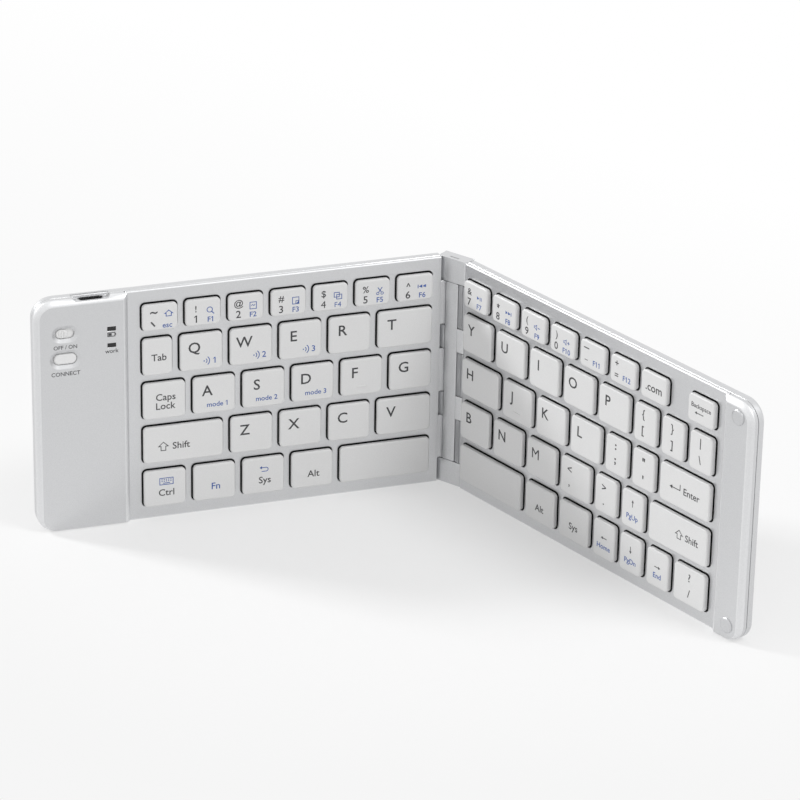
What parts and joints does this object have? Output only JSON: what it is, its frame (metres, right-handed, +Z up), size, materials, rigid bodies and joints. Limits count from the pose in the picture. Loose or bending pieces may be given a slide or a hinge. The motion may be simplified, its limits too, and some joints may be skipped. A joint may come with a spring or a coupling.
{
  "type": "folding keyboard",
  "caption": "Pocket keyboard in two hinged halves with low keycaps, a raised control end and a charging port, standing half open on its long edge.",
  "frame": {"origin": "middle of the spine's foot, on the surface that the keyboard stands on", "axes": "+Z up along the hinge pins, +X along the spine from the left half towards the right half, -Y to the side of the keys"},
  "size_m": [0.2413, 0.1268, 0.088],
  "materials": {
    "silver": "fine satin silver paint on aluminium, bevels polished",
    "keycap": "fine satin off-white moulded plastic",
    "control": "smooth white moulded plastic",
    "window": "smoked black window",
    "black_plastic": "matt black moulded plastic",
    "membrane": "printed polyester film",
    "dome_rubber": "milky silicone rubber",
    "foot_rubber": "matt dark rubber",
    "bumper": "satin silver-grey moulded plastic",
    "steel": "bright steel",
    "battery": "foil pouch",
    "board": "green solder mask",
    "cable": "amber polyimide film"
  },
  "bodies": {
    "spine": {"hinge_spine": "silver", "spine_cover": "silver", "spine_rear_cover": "silver", "left_hinge_pin": "steel", "right_hinge_pin": "steel", "flex_cable": "cable"},
    "left_half": {"left_rear_shell": "silver", "left_key_frame": "silver", "left_end_cover": "silver", "left_guide_plate": "black_plastic", "left_membrane": "membrane", "left_domes": "dome_rubber", "left_support_plate": "steel", "battery": "battery", "circuit_board": "board", "charging_port": "steel", "indicator_windows": "window", "left_screws": "steel", "left_feet": "foot_rubber", "left_magnets": "steel"},
    "right_half": {"right_rear_shell": "silver", "right_key_frame": "silver", "right_end_cover": "silver", "right_guide_plate": "black_plastic", "right_membrane": "membrane", "right_domes": "dome_rubber", "right_support_plate": "steel", "right_screws": "steel", "right_feet": "foot_rubber", "right_bumpers": "bumper", "right_magnets": "steel"},
    "power_slider": {"power_slider": "control"},
    "connect_button": {"connect_button": "control"},
    "key_tab": {"key_tab": "keycap"},
    "key_caps_lock": {"key_caps_lock": "keycap"},
    "key_left_shift": {"key_left_shift": "keycap"},
    "key_left_ctrl": {"key_left_ctrl": "keycap"},
    "key_fn": {"key_fn": "keycap"},
    "key_left_system": {"key_left_system": "keycap"},
    "key_left_alt": {"key_left_alt": "keycap"},
    "key_left_space": {"key_left_space": "keycap"},
    "keys_left_numbers": {"keys_left_numbers": "keycap"},
    "keys_qwert": {"keys_qwert": "keycap"},
    "keys_asdfg": {"keys_asdfg": "keycap"},
    "keys_zxcv": {"keys_zxcv": "keycap"},
    "keys_right_numbers": {"keys_right_numbers": "keycap"},
    "key_backspace": {"key_backspace": "keycap"},
    "keys_yuiop": {"keys_yuiop": "keycap"},
    "keys_hjkl": {"keys_hjkl": "keycap"},
    "key_enter": {"key_enter": "keycap"},
    "keys_bnm": {"keys_bnm": "keycap"},
    "key_up_arrow": {"key_up_arrow": "keycap"},
    "key_right_shift": {"key_right_shift": "keycap"},
    "key_right_space": {"key_right_space": "keycap"},
    "key_right_alt": {"key_right_alt": "keycap"},
    "key_right_system": {"key_right_system": "keycap"},
    "key_left_arrow": {"key_left_arrow": "keycap"},
    "key_down_arrow": {"key_down_arrow": "keycap"},
    "key_right_arrow": {"key_right_arrow": "keycap"},
    "key_slash": {"key_slash": "keycap"}
  },
  "joints": [
    {"name": "fold_left", "type": "hinge", "parent": "spine", "child": "left_half", "pos_m": [-0.00425, 0, 0], "axis": [0, 0, 1], "range_deg": [-55, 35]},
    {"name": "fold_right", "type": "hinge", "parent": "spine", "child": "right_half", "pos_m": [0.00425, 0, 0], "axis": [0, 0, -1], "range_deg": [-13.7, 76.3]},
    {"name": "power_slide", "type": "slide", "parent": "left_half", "child": "power_slider", "axis": [0.5736, 0.8192, 0], "range_m": [0, 0.002]},
    {"name": "connect_press", "type": "slide", "parent": "left_half", "child": "connect_button", "axis": [-0.8192, 0.5736, 0], "range_m": [0, 0.0004], "stiffness_N_per_m": 1500, "springref_m": -0.0003},
    {"name": "key_tab_press", "type": "slide", "parent": "left_half", "child": "key_tab", "axis": [-0.8192, 0.5736, 0], "range_m": [0, 0.0011], "stiffness_N_per_m": 400, "springref_m": -0.0006},
    {"name": "key_caps_lock_press", "type": "slide", "parent": "left_half", "child": "key_caps_lock", "axis": [-0.8192, 0.5736, 0], "range_m": [0, 0.0011], "stiffness_N_per_m": 400, "springref_m": -0.0006},
    {"name": "key_left_shift_press", "type": "slide", "parent": "left_half", "child": "key_left_shift", "axis": [-0.8192, 0.5736, 0], "range_m": [0, 0.0011], "stiffness_N_per_m": 400, "springref_m": -0.0006},
    {"name": "key_left_ctrl_press", "type": "slide", "parent": "left_half", "child": "key_left_ctrl", "axis": [-0.8192, 0.5736, 0], "range_m": [0, 0.0011], "stiffness_N_per_m": 400, "springref_m": -0.0006},
    {"name": "key_fn_press", "type": "slide", "parent": "left_half", "child": "key_fn", "axis": [-0.8192, 0.5736, 0], "range_m": [0, 0.0011], "stiffness_N_per_m": 400, "springref_m": -0.0006},
    {"name": "key_left_system_press", "type": "slide", "parent": "left_half", "child": "key_left_system", "axis": [-0.8192, 0.5736, 0], "range_m": [0, 0.0011], "stiffness_N_per_m": 400, "springref_m": -0.0006},
    {"name": "key_left_alt_press", "type": "slide", "parent": "left_half", "child": "key_left_alt", "axis": [-0.8192, 0.5736, 0], "range_m": [0, 0.0011], "stiffness_N_per_m": 400, "springref_m": -0.0006},
    {"name": "key_left_space_press", "type": "slide", "parent": "left_half", "child": "key_left_space", "axis": [-0.8192, 0.5736, 0], "range_m": [0, 0.0011], "stiffness_N_per_m": 400, "springref_m": -0.0006, "deforming": ["left_domes"]},
    {"name": "keys_left_numbers_press", "type": "slide", "parent": "left_half", "child": "keys_left_numbers", "axis": [-0.8192, 0.5736, 0], "range_m": [0, 0.0011], "stiffness_N_per_m": 2800, "springref_m": -0.0006},
    {"name": "keys_qwert_press", "type": "slide", "parent": "left_half", "child": "keys_qwert", "axis": [-0.8192, 0.5736, 0], "range_m": [0, 0.0011], "stiffness_N_per_m": 2000, "springref_m": -0.0006},
    {"name": "keys_asdfg_press", "type": "slide", "parent": "left_half", "child": "keys_asdfg", "axis": [-0.8192, 0.5736, 0], "range_m": [0, 0.0011], "stiffness_N_per_m": 2000, "springref_m": -0.0006},
    {"name": "keys_zxcv_press", "type": "slide", "parent": "left_half", "child": "keys_zxcv", "axis": [-0.8192, 0.5736, 0], "range_m": [0, 0.0011], "stiffness_N_per_m": 1600, "springref_m": -0.0006},
    {"name": "keys_right_numbers_press", "type": "slide", "parent": "right_half", "child": "keys_right_numbers", "axis": [0.2368, 0.9715, 0], "range_m": [0, 0.0011], "stiffness_N_per_m": 2800, "springref_m": -0.0006},
    {"name": "key_backspace_press", "type": "slide", "parent": "right_half", "child": "key_backspace", "axis": [0.2368, 0.9715, 0], "range_m": [0, 0.0011], "stiffness_N_per_m": 400, "springref_m": -0.0006},
    {"name": "keys_yuiop_press", "type": "slide", "parent": "right_half", "child": "keys_yuiop", "axis": [0.2368, 0.9715, 0], "range_m": [0, 0.0011], "stiffness_N_per_m": 3200, "springref_m": -0.0006},
    {"name": "keys_hjkl_press", "type": "slide", "parent": "right_half", "child": "keys_hjkl", "axis": [0.2368, 0.9715, 0], "range_m": [0, 0.0011], "stiffness_N_per_m": 2400, "springref_m": -0.0006},
    {"name": "key_enter_press", "type": "slide", "parent": "right_half", "child": "key_enter", "axis": [0.2368, 0.9715, 0], "range_m": [0, 0.0011], "stiffness_N_per_m": 400, "springref_m": -0.0006},
    {"name": "keys_bnm_press", "type": "slide", "parent": "right_half", "child": "keys_bnm", "axis": [0.2368, 0.9715, 0], "range_m": [0, 0.0011], "stiffness_N_per_m": 2000, "springref_m": -0.0006},
    {"name": "key_up_arrow_press", "type": "slide", "parent": "right_half", "child": "key_up_arrow", "axis": [0.2368, 0.9715, 0], "range_m": [0, 0.0011], "stiffness_N_per_m": 400, "springref_m": -0.0006},
    {"name": "key_right_shift_press", "type": "slide", "parent": "right_half", "child": "key_right_shift", "axis": [0.2368, 0.9715, 0], "range_m": [0, 0.0011], "stiffness_N_per_m": 400, "springref_m": -0.0006},
    {"name": "key_right_space_press", "type": "slide", "parent": "right_half", "child": "key_right_space", "axis": [0.2368, 0.9715, 0], "range_m": [0, 0.0011], "stiffness_N_per_m": 400, "springref_m": -0.0006, "deforming": ["right_domes"]},
    {"name": "key_right_alt_press", "type": "slide", "parent": "right_half", "child": "key_right_alt", "axis": [0.2368, 0.9715, 0], "range_m": [0, 0.0011], "stiffness_N_per_m": 400, "springref_m": -0.0006},
    {"name": "key_right_system_press", "type": "slide", "parent": "right_half", "child": "key_right_system", "axis": [0.2368, 0.9715, 0], "range_m": [0, 0.0011], "stiffness_N_per_m": 400, "springref_m": -0.0006},
    {"name": "key_left_arrow_press", "type": "slide", "parent": "right_half", "child": "key_left_arrow", "axis": [0.2368, 0.9715, 0], "range_m": [0, 0.0011], "stiffness_N_per_m": 400, "springref_m": -0.0006},
    {"name": "key_down_arrow_press", "type": "slide", "parent": "right_half", "child": "key_down_arrow", "axis": [0.2368, 0.9715, 0], "range_m": [0, 0.0011], "stiffness_N_per_m": 400, "springref_m": -0.0006},
    {"name": "key_right_arrow_press", "type": "slide", "parent": "right_half", "child": "key_right_arrow", "axis": [0.2368, 0.9715, 0], "range_m": [0, 0.0011], "stiffness_N_per_m": 400, "springref_m": -0.0006},
    {"name": "key_slash_press", "type": "slide", "parent": "right_half", "child": "key_slash", "axis": [0.2368, 0.9715, 0], "range_m": [0, 0.0011], "stiffness_N_per_m": 400, "springref_m": -0.0006}
  ]
}
